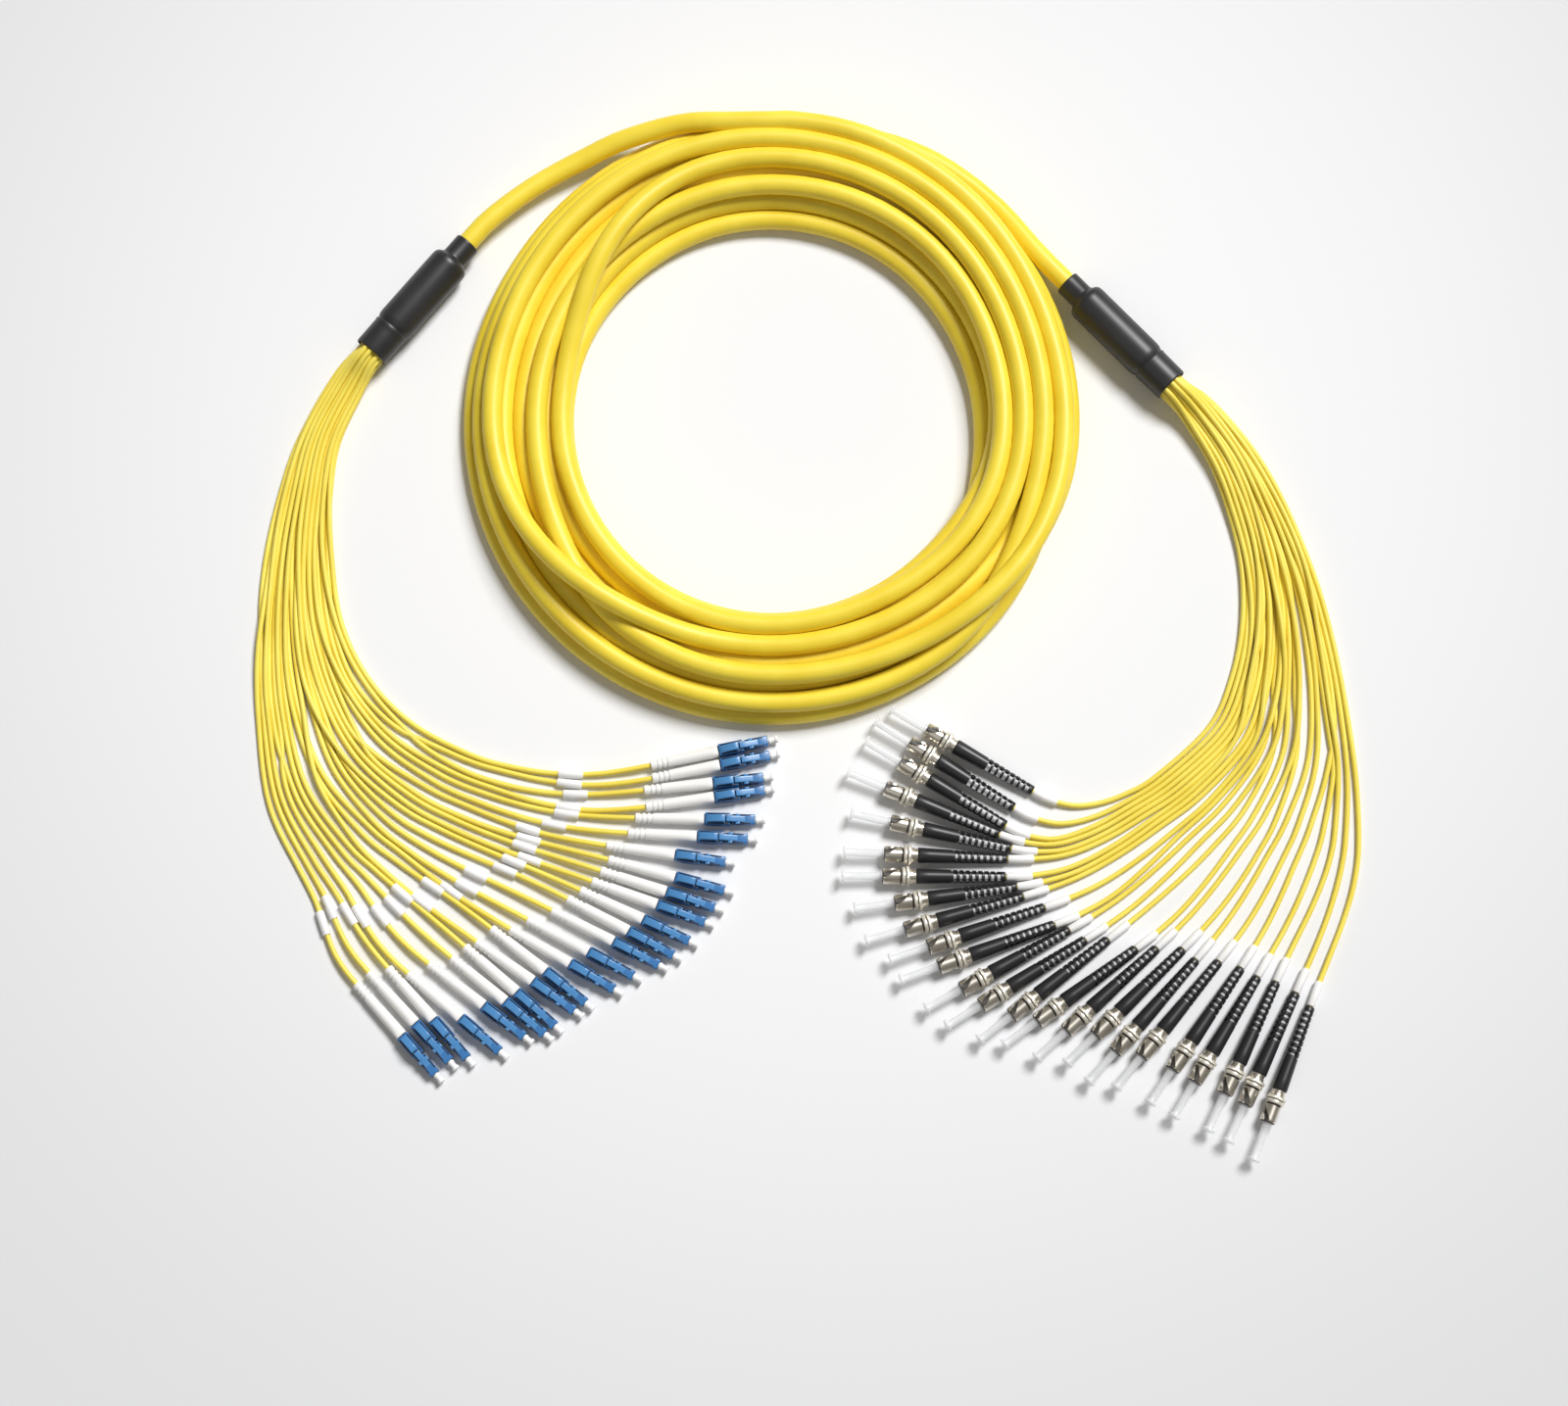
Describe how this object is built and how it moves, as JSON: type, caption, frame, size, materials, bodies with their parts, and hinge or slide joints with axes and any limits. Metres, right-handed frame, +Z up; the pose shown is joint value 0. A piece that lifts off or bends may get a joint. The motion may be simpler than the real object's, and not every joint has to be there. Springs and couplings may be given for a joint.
{
  "type": "fibre breakout cable",
  "caption": "Coiled round trunk fibre cable that splits through black sleeves into thin legs, with capped latched plugs at one end and capped bayonet plugs at the other.",
  "frame": {"origin": "centre of the bounding box at the floor that the cable lies on", "axes": "+Z up from the floor, +Y from the plugs towards the coil, +X from the LC end towards the ST end"},
  "size_m": [0.4782, 0.4669, 0.0248],
  "materials": {
    "yellow_jacket": "satin",
    "black_sleeve": "satin",
    "blue_housing": "satin",
    "nickel_nut": "satin"
  },
  "bodies": {
    "root": {"trunk_coil": "yellow_jacket", "trunk_lead_lc": "yellow_jacket", "trunk_lead_st": "yellow_jacket", "breakout_lc": "black_sleeve", "breakout_st": "black_sleeve", "lc_legs": "yellow_jacket", "st_legs": "yellow_jacket", "lc_plug_01": "blue_housing", "lc_plug_02": "blue_housing", "lc_plug_03": "blue_housing", "lc_plug_04": "blue_housing", "lc_plug_05": "blue_housing", "lc_plug_06": "blue_housing", "lc_plug_07": "blue_housing", "lc_plug_08": "blue_housing", "lc_plug_09": "blue_housing", "lc_plug_10": "blue_housing", "lc_plug_11": "blue_housing", "lc_plug_12": "blue_housing", "lc_plug_13": "blue_housing", "lc_plug_14": "blue_housing", "lc_plug_15": "blue_housing", "lc_plug_16": "blue_housing", "lc_plug_17": "blue_housing", "lc_plug_18": "blue_housing", "lc_plug_19": "blue_housing", "lc_plug_20": "blue_housing", "lc_plug_21": "blue_housing", "lc_plug_22": "blue_housing", "lc_plug_23": "blue_housing", "lc_plug_24": "blue_housing", "st_plug_01": "nickel_nut", "st_plug_02": "nickel_nut", "st_plug_03": "nickel_nut", "st_plug_04": "nickel_nut", "st_plug_05": "nickel_nut", "st_plug_06": "nickel_nut", "st_plug_07": "nickel_nut", "st_plug_08": "nickel_nut", "st_plug_09": "nickel_nut", "st_plug_10": "nickel_nut", "st_plug_11": "nickel_nut", "st_plug_12": "nickel_nut", "st_plug_13": "nickel_nut", "st_plug_14": "nickel_nut", "st_plug_15": "nickel_nut", "st_plug_16": "nickel_nut", "st_plug_17": "nickel_nut", "st_plug_18": "nickel_nut", "st_plug_19": "nickel_nut", "st_plug_20": "nickel_nut", "st_plug_21": "nickel_nut", "st_plug_22": "nickel_nut", "st_plug_23": "nickel_nut", "st_plug_24": "nickel_nut"}
  },
  "joints": []
}
